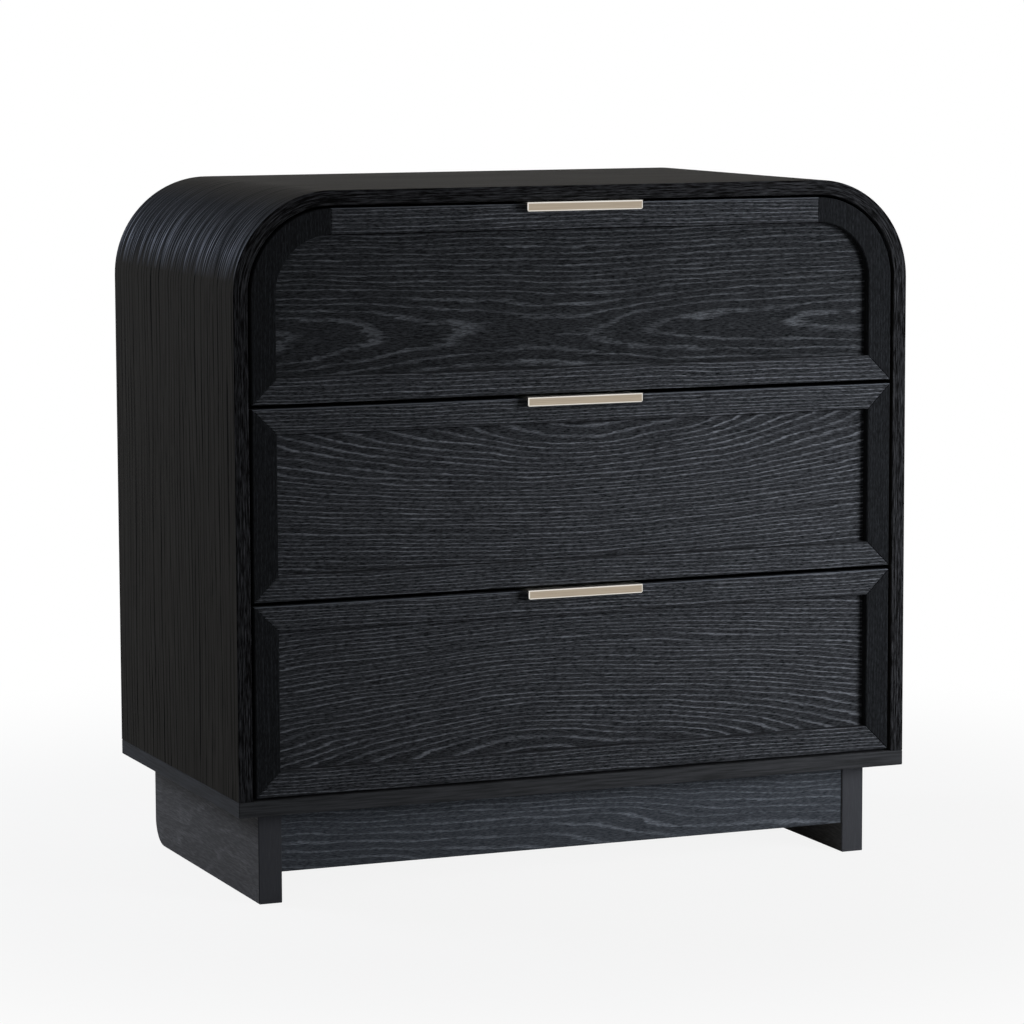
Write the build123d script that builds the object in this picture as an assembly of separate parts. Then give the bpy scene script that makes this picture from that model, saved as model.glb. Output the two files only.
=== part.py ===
from build123d import *
import os
from math import sqrt

# Nightstand with three inset drawers, in millimetres.
# X runs to the right, Y from front to back and Z up.
# The origin is on the floor, under the middle of the whole object.

# Overall sizes
case_width = 750.0
case_depth = 400.0
total_height = 725.0
base_height = 97.0

# Boards of the case
board = 15.0
bottom_board = 16.0
corner_radius = 104.0
back_board = 5.0
rabbet = 8.0
arris = 0.8

# Base
leg_board = 25.0
leg_side_inset = 31.0
leg_front_inset = 32.0
leg_rear_inset = 20.0
leg_foot_radius = 28.0
apron_board = 16.0
apron_front_step = 2.0
apron_floor_gap = 31.5
rear_apron_inset = 24.0
block_leg = 42.0
block_height = 50.0

# Drawer fronts
side_gap = 3.5
gap_under_top = 3.0
gap_between = 4.5
gap_over_bottom = 3.0
front_board = 12.0
frame_thickness = 10.0
frame_width = 26.0

# Drawer boxes
box_board = 12.0
box_length = 350.0
box_lift = 14.0
box_height = 130.0
box_curve_clearance = 3.0
groove_depth = 5.0
groove_rise = 10.0
box_floor = 5.0

# Telescopic runners, one on each side of a box
runner_room = 12.7
runner_height = 45.0
runner_sheet = 1.2
runner_length = 346.0
runner_setback = 4.0
runner_rise = 50.0
runner_bend = 1.0
centre_web = 3.6
case_flange = 9.5
centre_flange = 11.2
box_flange = 6.7
running_gap = 0.3

# Edge pulls
pull_length = 128.0
pull_sheet = 2.0
pull_reach = 12.0
pull_lip = 9.3
pull_tail = 16.0
pull_corner = 2.2
pull_arris = 0.4

# Fasteners, drawn with few sides
dowel_radius = 3.0
dowel_half = 12.0
hole_clearance = 0.1
hole_end = 0.5
fit_clearance = 0.3
dowel_sides = 8
shank_sides = 6
head_sides = 8
screw_radius = 1.6
screw_head_radius = 3.4
screw_head_height = 1.6
flush_head_height = 2.0
rail_screw_length = 12.0
front_screw_length = 22.0
pull_screw_length = 11.0
back_screw_length = 16.0
box_screw_length = 30.0
leg_screw_radius = 2.4
leg_screw_length = 48.0
leg_screw_head_radius = 4.8

# Planes that follow from the sizes
front_y = -(case_depth - pull_reach) / 2
back_y = front_y + case_depth
half_width = case_width / 2
inner_half = half_width - board
floor_z = base_height + bottom_board
inner_top = total_height - board
corner_x = half_width - corner_radius
corner_z = total_height - corner_radius
inner_radius = corner_radius - board
panel_y = front_y + frame_thickness
box_y = panel_y + front_board
box_end = box_y + box_length
box_half = inner_half - runner_room
box_inner = box_half - box_board
runner_y = box_y + runner_setback
front_half = inner_half - side_gap
frame_inner_half = front_half - frame_width
curve_inner_radius = inner_radius - side_gap - frame_width
drawer_names = ("bottom", "middle", "top")
opening = inner_top - floor_z
front_height = (opening - gap_over_bottom - gap_under_top - 2 * gap_between) / 3

# The top drawer's box stays under the curved corners, and all three boxes are alike.
top_front_low = inner_top - gap_under_top - front_height
curve_room = sqrt(inner_radius**2 - max(box_half - corner_x, 0) ** 2)
box_room = corner_z + curve_room - box_curve_clearance - top_front_low - box_lift
box_side_height = min(box_height, box_room)

# Its runners stay on the straight part of the side panels, below the dowels of the corners.
rail_room = corner_z - dowel_half - runner_height / 2 - top_front_low - box_lift
rail_rise = min(runner_rise, rail_room)


def block(x, y, z):
    """A square-edged piece given by its low and high limits along X, Y and Z."""
    limits = (x, y, z)
    size = [high - low for low, high in limits]
    middle = [(high + low) / 2 for low, high in limits]
    return Pos(*middle) * Box(*size)


def prism(start, direction, length, radius, sides):
    """A many-sided rod from a point along a direction."""
    foot = Plane(origin=start, z_dir=direction)
    return extrude(foot * RegularPolygon(radius, sides), length)


def upright(sketch, y_front, y_back):
    """A flat outline, drawn with X across and Z up, as a plate between two depths."""
    back_plane = Plane(origin=(0, y_back, 0), x_dir=(1, 0, 0), z_dir=(0, -1, 0))
    return extrude(back_plane * sketch, y_back - y_front)


def polygon(points):
    """A straight-sided outline, drawn flat."""
    return make_face(Polyline(*points, close=True))


def arched(half, low, high, radius):
    """A rectangle with its two upper corners rounded."""
    sketch = Pos(0, (low + high) / 2) * Rectangle(2 * half, high - low)
    upper = sketch.vertices().group_by(Axis.Y)[-1]
    return fillet(upper, radius)


def edges_in_plane(solid, axis, place):
    """The edges of a solid whose ends all lie at one place along an axis."""
    def lies_there(edge):
        return all(abs(getattr(point, axis) - place) < 0.01 for point in edge.vertices())

    return solid.edges().filter_by(lies_there)


def mirrored(solid):
    """The same piece on the other side of the object."""
    return mirror(solid, about=Plane.YZ)


def both_sides(solids):
    """A list of pieces together with their mirror images."""
    return list(solids) + [mirrored(solid) for solid in solids]


def in_direction(point, direction, distance):
    """A point moved along a direction."""
    return tuple(p + d * distance for p, d in zip(point, direction))


def drilled(solid, holes):
    """A piece with round holes cut in it."""
    for hole in holes:
        solid = solid - hole
    return solid


# Dowels and screws, each with the hole it sits in

def dowel(middle, direction, half=dowel_half, radius=dowel_radius):
    """A wooden dowel centred on the joint between two boards."""
    start = in_direction(middle, direction, -half)
    return prism(start, direction, 2 * half, radius, dowel_sides)


def dowel_hole(middle, direction):
    """The pair of blind holes that a dowel sits in."""
    return dowel(middle, direction, dowel_half + hole_end, dowel_radius + hole_clearance)


def shank(seat, direction, length, radius):
    """The part of a screw that goes into the wood."""
    return prism(seat, direction, length, radius, shank_sides)


def shank_hole(seat, direction, length, radius=screw_radius):
    """The hole for a screw's shank."""
    return shank(seat, direction, length + hole_end, radius + hole_clearance)


def standing_screw(seat, direction, length):
    """A small screw whose head stands on the seat."""
    top = in_direction(seat, direction, -screw_head_height)
    head = prism(top, direction, screw_head_height, screw_head_radius, head_sides)
    return head + shank(seat, direction, length, screw_radius)


def flush_screw(seat, direction, length, radius=screw_radius, head_radius=screw_head_radius):
    """A screw whose head is let in flush with the seat."""
    head = prism(seat, direction, flush_head_height, head_radius, head_sides)
    return head + shank(seat, direction, length, radius)


def flush_hole(seat, direction, length, radius=screw_radius, head_radius=screw_head_radius):
    """The stepped hole for a screw with a flush head."""
    recess = prism(seat, direction, flush_head_height, head_radius + hole_clearance, head_sides)
    return recess + shank_hole(seat, direction, length, radius)


# Places of the joints in the case

def spread(low, high, end_distance, count):
    """Evenly spaced places along a length, kept away from its ends."""
    step = (high - low - 2 * end_distance) / (count - 1)
    return [low + end_distance + index * step for index in range(count)]


joint_end_distance = 60.0
joint_ys = spread(front_y, back_y, joint_end_distance, 3)
side_mid = half_width - board / 2
top_mid = total_height - board / 2
side_joints = [((side_mid, y, corner_z), (0, 0, 1)) for y in joint_ys]
foot_joints = [((side_mid, y, floor_z), (0, 0, 1)) for y in joint_ys]
top_joints = [((corner_x, y, top_mid), (1, 0, 0)) for y in joint_ys]

leg_outer = half_width - leg_side_inset
leg_inner = leg_outer - leg_board
leg_front_y = front_y + leg_front_inset
leg_back_y = back_y - leg_rear_inset
apron_front_y = leg_front_y + apron_front_step
rear_apron_back_y = leg_back_y - rear_apron_inset
rear_apron_y = rear_apron_back_y - apron_board
apron_joint_end = 18.0
apron_zs = spread(apron_floor_gap, base_height, apron_joint_end, 2)
apron_ys = (apron_front_y + apron_board / 2, rear_apron_y + apron_board / 2)
apron_joints = [((leg_inner, y, z), (1, 0, 0)) for y in apron_ys for z in apron_zs]

leg_mid = (leg_outer + leg_inner) / 2
leg_screw_ys = spread(leg_front_y, leg_back_y, joint_end_distance, 3)
leg_screw_size = (leg_screw_length, leg_screw_radius, leg_screw_head_radius)
leg_screws = [((leg_mid, y, floor_z), (0, 0, -1), *leg_screw_size) for y in leg_screw_ys]

back_screw_inset = rabbet / 2
back_screw_xs = spread(-corner_x, corner_x, joint_end_distance, 3)
back_screw_zs = spread(floor_z, corner_z, joint_end_distance, 3)


def back_seat(x, z):
    """Seat of a screw through the edge of the back panel."""
    return ((x, back_y, z), (0, -1, 0), back_screw_length)


back_edge_seats = [back_seat(inner_half + back_screw_inset, z) for z in back_screw_zs]
back_far_seats = [back_seat(-inner_half - back_screw_inset, z) for z in back_screw_zs]
back_top_seats = [back_seat(x, inner_top + back_screw_inset) for x in back_screw_xs]
back_foot_seats = [back_seat(x, floor_z - back_screw_inset) for x in back_screw_xs]
all_back_seats = back_edge_seats + back_far_seats + back_top_seats + back_foot_seats


# Places of the drawers and their runners

def drawer_low(index):
    """The lower edge of a drawer front, counted from the bottom drawer."""
    return floor_z + gap_over_bottom + index * (front_height + gap_between)


def box_low(index):
    """The lower edge of a drawer box."""
    return drawer_low(index) + box_lift


def runner_mid(index):
    """The middle height of a drawer's runners."""
    return box_low(index) + rail_rise


runner_screw_end = 36.0
runner_screw_ys = spread(runner_y, runner_y + runner_length, runner_screw_end, 2)
case_web_x = inner_half - runner_sheet
box_web_x = box_half + runner_sheet


def case_runner_screws(index):
    """Seats of the screws from a case rail into the right side panel."""
    z = runner_mid(index)
    return [((case_web_x, y, z), (1, 0, 0), rail_screw_length) for y in runner_screw_ys]


def box_runner_screws(index):
    """Seats of the screws from a box rail into the right box side."""
    z = runner_mid(index)
    return [((box_web_x, y, z), (-1, 0, 0), rail_screw_length) for y in runner_screw_ys]


# Shell of the case: one arched ring, cut into panels and corners

def make_shell():
    outer = arched(half_width, floor_z, total_height, corner_radius)
    inner = arched(inner_half, floor_z, inner_top, inner_radius)
    ring = upright(outer - inner, front_y, back_y)
    front_edges = edges_in_plane(ring, "Y", front_y)
    foot_edges = edges_in_plane(ring, "Z", floor_z)
    ring = chamfer([edge for edge in front_edges if edge not in foot_edges], arris)
    seat = arched(inner_half + rabbet, floor_z, inner_top + rabbet, inner_radius + rabbet)
    return ring - upright(seat, back_y - back_board, back_y)


def make_side_panel(shell):
    side = shell & block((0, half_width), (front_y, back_y), (floor_z, corner_z))
    holes = [dowel_hole(*joint) for joint in side_joints + foot_joints]
    holes += [flush_hole(*seat) for seat in back_edge_seats]
    for index in range(len(drawer_names)):
        holes += [shank_hole(*seat) for seat in case_runner_screws(index)]
    return drilled(side, holes)


def make_corner(shell):
    corner = shell & block((corner_x, half_width), (front_y, back_y), (corner_z, total_height))
    holes = [dowel_hole(*joint) for joint in side_joints + top_joints]
    return drilled(corner, holes)


def make_top_panel(shell):
    top = shell & block((-corner_x, corner_x), (front_y, back_y), (corner_z, total_height))
    holes = both_sides([dowel_hole(*joint) for joint in top_joints])
    holes += [flush_hole(*seat) for seat in back_top_seats]
    return drilled(top, holes)


def make_bottom_panel():
    panel = block((-half_width, half_width), (front_y, back_y), (base_height, floor_z))
    rim = edges_in_plane(panel, "Y", front_y) + edges_in_plane(panel, "X", -half_width)
    rim = rim + edges_in_plane(panel, "X", half_width)
    panel = chamfer(set(rim), arris)
    seat_x = inner_half + rabbet
    panel = panel - block((-seat_x, seat_x), (back_y - back_board, back_y), (floor_z - rabbet, floor_z))
    holes = [dowel_hole(*joint) for joint in foot_joints]
    holes += [flush_hole(*seat) for seat in leg_screws]
    holes = both_sides(holes)
    holes += [flush_hole(*seat) for seat in back_foot_seats]
    return drilled(panel, holes)


# Back panel

back_half = inner_half + rabbet - fit_clearance
back_top = inner_top + rabbet - fit_clearance
back_low = floor_z - rabbet + fit_clearance
back_radius = inner_radius + rabbet - fit_clearance


def make_back_panel():
    outline = arched(back_half, back_low, back_top, back_radius)
    panel = upright(outline, back_y - back_board, back_y)
    return drilled(panel, [flush_hole(*seat) for seat in all_back_seats])


# Base: leg panels with a rounded rear foot, two aprons and corner blocks

def make_leg():
    outline = polygon(
        [
            (leg_front_y, 0),
            (leg_back_y, 0),
            (leg_back_y, base_height),
            (leg_front_y, base_height),
        ]
    )
    foot = outline.vertices().sort_by_distance((leg_back_y, 0, 0))[0]
    outline = fillet(foot, leg_foot_radius)
    side_plane = Plane(origin=(leg_inner, 0, 0), x_dir=(0, 1, 0), z_dir=(1, 0, 0))
    leg = extrude(side_plane * outline, leg_board)
    faces = edges_in_plane(leg, "X", leg_outer) + edges_in_plane(leg, "X", leg_inner)
    top_edges = edges_in_plane(leg, "Z", base_height)
    leg = chamfer([edge for edge in faces if edge not in top_edges], arris)
    holes = [flush_hole(*seat) for seat in leg_screws]
    holes += [dowel_hole(*joint) for joint in apron_joints]
    return drilled(leg, holes)


def make_apron(y_front):
    apron = block((-leg_inner, leg_inner), (y_front, y_front + apron_board), (apron_floor_gap, base_height))
    low_edges = edges_in_plane(apron, "Z", apron_floor_gap).filter_by(Axis.X)
    apron = chamfer(low_edges, arris)
    holes = both_sides([dowel_hole(*joint) for joint in apron_joints])
    return drilled(apron, holes)


def make_corner_blocks():
    """Three-sided blocks glued into the corners between legs and aprons, under the bottom panel."""
    front_corner = apron_front_y + apron_board
    blocks = []
    for corner_y, reach in ((front_corner, block_leg), (rear_apron_y, -block_leg)):
        outline = polygon(
            [
                (leg_inner, corner_y),
                (leg_inner - block_leg, corner_y),
                (leg_inner, corner_y + reach),
            ]
        )
        blocks.append(Pos(0, 0, base_height - block_height) * extrude(outline, block_height, dir=(0, 0, 1)))
    return both_sides(blocks)


# Telescopic runners: three channels that nest with a running gap

def channel(web_low, web_high, flange_end, outer_half, index, bend):
    """One rail of a right-hand runner: a web with two flanges, measured inward from the side panel."""
    inner_edge = outer_half - runner_sheet
    flange_low = min(web_low, flange_end)
    flange_high = max(web_high, flange_end)
    web_middle = (web_low + web_high) / 2
    width = flange_high - flange_low
    outline = Pos((flange_low + flange_high) / 2, 0) * Rectangle(width, 2 * outer_half)
    web_edge = web_low if flange_end > web_middle else web_high
    bends = [v for v in outline.vertices() if abs(v.X - web_edge) < 0.01]
    outline = chamfer(bends, bend)
    room_low = web_high if flange_end > web_middle else flange_low
    room_high = flange_high if flange_end > web_middle else web_low
    room = Pos((room_low + room_high) / 2, 0) * Rectangle(room_high - room_low, 2 * inner_edge)
    profile = outline - room
    rail_plane = Plane(
        origin=(inner_half, runner_y + runner_length, runner_mid(index)),
        x_dir=(-1, 0, 0),
        z_dir=(0, -1, 0),
    )
    return extrude(rail_plane * profile, runner_length)


case_rail_half = runner_height / 2
centre_rail_half = case_rail_half - runner_sheet - running_gap
box_rail_half = centre_rail_half - runner_sheet - running_gap


def make_case_rails(index):
    rail = channel(0, runner_sheet, case_flange, case_rail_half, index, runner_bend)
    rail = drilled(rail, [shank_hole(*seat) for seat in case_runner_screws(index)])
    return both_sides([rail])


def make_centre_rails(index):
    rail = channel(centre_web, centre_web + runner_sheet, centre_flange, centre_rail_half, index, runner_bend)
    return both_sides([rail])


def make_box_rails(index):
    web = runner_room - runner_sheet
    rail = channel(web, runner_room, runner_room - box_flange, box_rail_half, index, runner_bend)
    rail = drilled(rail, [shank_hole(*seat) for seat in box_runner_screws(index)])
    return both_sides([rail])


# Drawer fronts: a full board with four frame pieces on it

front_screw_x = 220.0
front_screw_rise = 24.0
pull_screw_x = 44.0
pull_screw_drop = 9.0


def front_screws(index):
    """Seats of the screws from inside the box into the front board."""
    low = box_low(index) + groove_rise + box_floor + front_screw_rise
    high = box_low(index) + box_side_height - front_screw_rise
    seat_y = box_y + box_board
    places = [(x, seat_y, z) for x in (-front_screw_x, front_screw_x) for z in (low, high)]
    return [(place, (0, -1, 0), front_screw_length) for place in places]


def pull_screws(index):
    """Seats of the screws from the pull's tail into the back of the front board."""
    z = drawer_low(index) + front_height - pull_screw_drop
    seat_y = box_y + pull_sheet
    return [((x, seat_y, z), (0, -1, 0), pull_screw_length) for x in (-pull_screw_x, pull_screw_x)]


def make_front_panel(index):
    low = drawer_low(index)
    high = low + front_height
    if is_top(index):
        outline = arched(front_half, low, high, inner_radius - side_gap)
    else:
        outline = Pos(0, (low + high) / 2) * Rectangle(2 * front_half, front_height)
    panel = upright(outline, panel_y, box_y)
    seats = front_screws(index) + pull_screws(index)
    return drilled(panel, [shank_hole(*seat) for seat in seats])


def is_top(index):
    """Whether a drawer is the one with curved upper corners."""
    return index == len(drawer_names) - 1


def frame_piece(sketch):
    """A frame strip with its front edges eased."""
    strip = upright(sketch, front_y, panel_y)
    return chamfer(edges_in_plane(strip, "Y", front_y), arris)


def make_bottom_rail(index):
    low = drawer_low(index)
    return frame_piece(
        polygon(
            [
                (-front_half, low),
                (front_half, low),
                (frame_inner_half, low + frame_width),
                (-frame_inner_half, low + frame_width),
            ]
        )
    )


def make_top_rail(index):
    high = drawer_low(index) + front_height
    if is_top(index):
        return frame_piece(Pos(0, high - frame_width / 2) * Rectangle(2 * corner_x, frame_width))
    return frame_piece(
        polygon(
            [
                (-front_half, high),
                (front_half, high),
                (frame_inner_half, high - frame_width),
                (-frame_inner_half, high - frame_width),
            ]
        )
    )


def make_stile(index):
    """The right-hand stile. In the top drawer it carries the curve up to the top rail."""
    low = drawer_low(index)
    high = low + front_height
    if not is_top(index):
        return frame_piece(
            polygon(
                [
                    (front_half, low),
                    (front_half, high),
                    (frame_inner_half, high - frame_width),
                    (frame_inner_half, low + frame_width),
                ]
            )
        )
    outer = arched(front_half, low, high, inner_radius - side_gap)
    inner = arched(frame_inner_half, low + frame_width, high - frame_width, curve_inner_radius)
    mitre = polygon(
        [
            (corner_x, high),
            (front_half, high),
            (front_half, low),
            (frame_inner_half, low + frame_width),
            (corner_x, low + frame_width),
        ]
    )
    return frame_piece((outer - inner) & mitre)


# Drawer boxes: four boards and a floor in grooves

def groove_limits(index):
    """The low and high sides of the groove that the box floor sits in."""
    low = box_low(index) + groove_rise
    return (low, low + box_floor + fit_clearance)


def box_heights(index):
    """The low and high edges of a drawer box."""
    return (box_low(index), box_low(index) + box_side_height)


box_joint_drop = 34.0


def box_joints(index):
    """Seats of the small screws from the right box side into the box front and back."""
    z = box_heights(index)[1] - box_joint_drop
    seat_ys = (box_y + box_board / 2, box_end - box_board / 2)
    return [((box_half, y, z), (-1, 0, 0), box_screw_length) for y in seat_ys]


def make_box_side(index):
    """The right-hand side of a drawer box."""
    side = block((box_inner, box_half), (box_y, box_end), box_heights(index))
    groove = block((box_inner, box_inner + groove_depth), (box_y, box_end), groove_limits(index))
    holes = [shank_hole(*seat) for seat in box_runner_screws(index)]
    holes += [flush_hole(*seat) for seat in box_joints(index)]
    return drilled(side - groove, holes)


def make_box_front(index):
    front = block((-box_inner, box_inner), (box_y, box_y + box_board), box_heights(index))
    inside = box_y + box_board
    groove = block((-box_inner, box_inner), (inside - groove_depth, inside), groove_limits(index))
    holes = [shank_hole(*seat) for seat in front_screws(index)]
    holes += both_sides([flush_hole(*seat) for seat in box_joints(index)])
    return drilled(front - groove, holes)


def make_box_back(index):
    inside = box_end - box_board
    back = block((-box_inner, box_inner), (inside, box_end), box_heights(index))
    groove = block((-box_inner, box_inner), (inside, inside + groove_depth), groove_limits(index))
    holes = both_sides([flush_hole(*seat) for seat in box_joints(index)])
    return drilled(back - groove, holes)


def make_box_floor(index):
    reach = groove_depth - fit_clearance
    half = box_inner + reach
    y_limits = (box_y + box_board - reach, box_end - box_board + reach)
    low = groove_limits(index)[0]
    return block((-half, half), y_limits, (low, low + box_floor))


# Edge pull: a folded strip over the top edge of the front, with a lip in front and a tail behind

def make_pull(index):
    high = drawer_low(index) + front_height
    half = pull_length / 2
    lip_y = front_y - pull_reach
    top = high + pull_sheet
    tail_y = box_y + pull_sheet
    x = (-half, half)
    lip = block(x, (lip_y, lip_y + pull_sheet), (top - pull_lip, top))
    lip_corners = edges_in_plane(lip, "Z", top - pull_lip).filter_by(Axis.Y)
    lip = fillet(lip_corners, pull_corner)
    plate = block(x, (lip_y, tail_y), (high, top))
    tail = block(x, (box_y, tail_y), (high - pull_tail, top))
    pull = lip + plate + tail
    pull = chamfer(edges_in_plane(pull, "Y", lip_y), pull_arris)
    return drilled(pull, [shank_hole(*seat) for seat in pull_screws(index)])


def make_drawer_screws(index):
    screws = [standing_screw(*seat) for seat in front_screws(index) + pull_screws(index)]
    screws += both_sides([standing_screw(*seat) for seat in box_runner_screws(index)])
    screws += both_sides([flush_screw(*seat) for seat in box_joints(index)])
    return screws


# Fastener groups of the case

def make_case_dowels():
    joints = side_joints + foot_joints + top_joints + apron_joints
    return both_sides([dowel(*joint) for joint in joints])


def make_case_screws():
    screws = [flush_screw(*seat) for seat in leg_screws]
    for index in range(len(drawer_names)):
        screws += [standing_screw(*seat) for seat in case_runner_screws(index)]
    return both_sides(screws)


def make_back_screws():
    return [flush_screw(*seat) for seat in all_back_seats]


# All pieces by name

def case_pieces():
    shell = make_shell()
    side = make_side_panel(shell)
    corner = make_corner(shell)
    leg = make_leg()
    pieces = {
        "left_side_panel": mirrored(side),
        "right_side_panel": side,
        "left_corner": mirrored(corner),
        "right_corner": corner,
        "top_panel": make_top_panel(shell),
        "bottom_panel": make_bottom_panel(),
        "back_panel": make_back_panel(),
        "left_leg": mirrored(leg),
        "right_leg": leg,
        "front_apron": make_apron(apron_front_y),
        "rear_apron": make_apron(rear_apron_y),
        "base_corner_blocks": make_corner_blocks(),
        "case_dowels": make_case_dowels(),
        "case_screws": make_case_screws(),
        "back_panel_screws": make_back_screws(),
    }
    for index, name in enumerate(drawer_names):
        pieces[f"{name}_drawer_case_rails"] = make_case_rails(index)
    return pieces


def drawer_pieces(index):
    stile = make_stile(index)
    side = make_box_side(index)
    pieces = {
        "front_panel": make_front_panel(index),
        "top_rail": make_top_rail(index),
        "bottom_rail": make_bottom_rail(index),
        "left_stile": mirrored(stile),
        "right_stile": stile,
        "pull": make_pull(index),
        "box_front": make_box_front(index),
        "box_left_side": mirrored(side),
        "box_right_side": side,
        "box_back": make_box_back(index),
        "box_floor": make_box_floor(index),
        "centre_rails": make_centre_rails(index),
        "box_rails": make_box_rails(index),
        "screws": make_drawer_screws(index),
    }
    return {f"{drawer_names[index]}_drawer_{name}": piece for name, piece in pieces.items()}


def write(name, piece):
    """One file for each named piece. A group of like pieces stays a group of separate solids."""
    shape = Compound(children=piece) if isinstance(piece, list) else piece
    export_step(shape, f"parts/{name}.step")


os.makedirs("parts", exist_ok=True)
all_pieces = case_pieces()
for drawer in range(len(drawer_names)):
    all_pieces.update(drawer_pieces(drawer))
for piece_name, piece_shape in all_pieces.items():
    write(piece_name, piece_shape)
print(len(all_pieces), "pieces")
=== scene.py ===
# %% [markdown]
# # A black oak nightstand
# The nightstand comes from its construction model as named boards, pulls and runners, already in place
# and in metres. This lesson gives each of them the finish that the real one has, puts round screws with
# a cross recess in place of the plain ones, and sets up a plain white studio to look at it.

# %% Load the boards and their sizes
import bpy
import math
from mathutils import Matrix, Vector


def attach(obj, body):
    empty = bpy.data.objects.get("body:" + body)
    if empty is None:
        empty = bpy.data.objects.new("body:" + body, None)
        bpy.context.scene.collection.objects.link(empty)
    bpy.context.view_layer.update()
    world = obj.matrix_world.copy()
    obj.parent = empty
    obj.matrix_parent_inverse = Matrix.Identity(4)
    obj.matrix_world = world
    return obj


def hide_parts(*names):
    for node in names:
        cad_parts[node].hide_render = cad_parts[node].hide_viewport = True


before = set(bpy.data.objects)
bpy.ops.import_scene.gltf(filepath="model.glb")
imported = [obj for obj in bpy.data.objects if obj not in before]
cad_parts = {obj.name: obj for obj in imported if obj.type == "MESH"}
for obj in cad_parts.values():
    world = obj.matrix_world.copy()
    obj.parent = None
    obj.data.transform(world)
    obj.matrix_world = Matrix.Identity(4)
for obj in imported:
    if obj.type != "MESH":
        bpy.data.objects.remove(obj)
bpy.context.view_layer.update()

bpy.ops.object.select_all(action="DESELECT")
mm = 0.001
print("boards and fittings:", len(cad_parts))

# %% [markdown]
# ## Colours and nodes
# Colours are written as they look on a screen, as hex values, and a shader wants them linear, so one
# function does that sum. A second one adds a node to a material with its settings and its links. Nodes
# could also be added and wired one line at a time, but then the wiring would hide what a finish is made
# of. Where a node has several sockets of one name, they are given by number: 6 and 7 are the two colours
# of a Mix node, and 1 to 4 are the two ends of the range that a Map Range node reads and gives.

# %% Colours and nodes
def linear(hex_colour):
    """A screen colour such as 3a3b3d as the linear colour that a shader needs."""
    parts = [int(hex_colour[i:i + 2], 16) / 255 for i in (0, 2, 4)]
    return [p / 12.92 if p <= 0.04045 else ((p + 0.055) / 1.055) ** 2.4 for p in parts] + [1.0]


def add(tree, kind, settings=None, links=None):
    """Adds a node, sets its sockets or properties, links its inputs, and returns its first output."""
    node = tree.nodes.new("ShaderNode" + kind)
    settings = dict(settings or {})
    stops = settings.pop("stops", [])
    for key, value in settings.items():
        if isinstance(key, int) or key in node.inputs:
            node.inputs[key].default_value = value
        else:
            setattr(node, key, value)
    for key, output in (links or {}).items():
        tree.links.new(output, node.inputs[key])
    for place, colour in stops[2:]:
        node.color_ramp.elements.new(place)
    for number, (place, colour) in enumerate(stops):
        node.color_ramp.elements[number].position = place
        node.color_ramp.elements[number].color = linear(colour)
    return next(output for output in node.outputs if output.enabled)


print("linear 808080 is", round(linear("808080")[0], 3))

# %% [markdown]
# ## From nodes to boards
# A finish is a material, and each starts as a plain shader to which colour, roughness and relief are
# linked. The patterns are placed by where a point lies on its board, so that a pattern keeps its real size
# and moves with its drawer. Unwrapped coordinates would do that too, but each board would need its own.

# %% Materials and where they go
def new_material(name):
    """A material with only its shader and output, its node tree, and the shader."""
    material = bpy.data.materials.new(name)
    material.use_nodes = True
    return material, material.node_tree, material.node_tree.nodes["Principled BSDF"]


def join(tree, shader, sockets):
    """Links outputs to named sockets of a shader."""
    for name, output in sockets.items():
        tree.links.new(output, shader.inputs[name])


def object_place(tree):
    """Where a point lies on the object, in metres."""
    return tree.nodes.new("ShaderNodeTexCoord").outputs["Object"]


def finish_nodes(material, nodes):
    """Puts a material on carried-over boards or fittings."""
    for name in nodes:
        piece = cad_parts[name]
        piece.data.materials.clear()
        piece.data.materials.append(material)


print("nodes that wait for a finish:", len([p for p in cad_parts.values() if p.type == "MESH"]))

# %% [markdown]
# ## Black oak veneer
# The boards are faced with oak, stained and lacquered black, and the open grain still shows. The rough,
# porous start of each year's growth catches the light as a pale line, and the dense rest stays dark. It
# could be drawn with a picture, but a solid pattern needs no unwrapping: each board is cut out of an
# imagined trunk. A point's distance from the heart of the trunk gives its growth ring, so a board cut
# near the heart shows wide pointed flames, and a board cut far from it shows straight lines. The trunk
# is not quite straight, so a slow noise bends it before the distance is taken.

# %% The trunk that a board is cut from
slow_turns = (3.0, 10.0, 10.0)  # bends per metre along, into and across the board
cross_drift = 0.6  # how much of a bend goes across, as a share of what goes inward
flame_tip = 50.0 * mm  # rounds the tip of a flame
noise_middle = (0.5, 0.5, 0.5)


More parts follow.
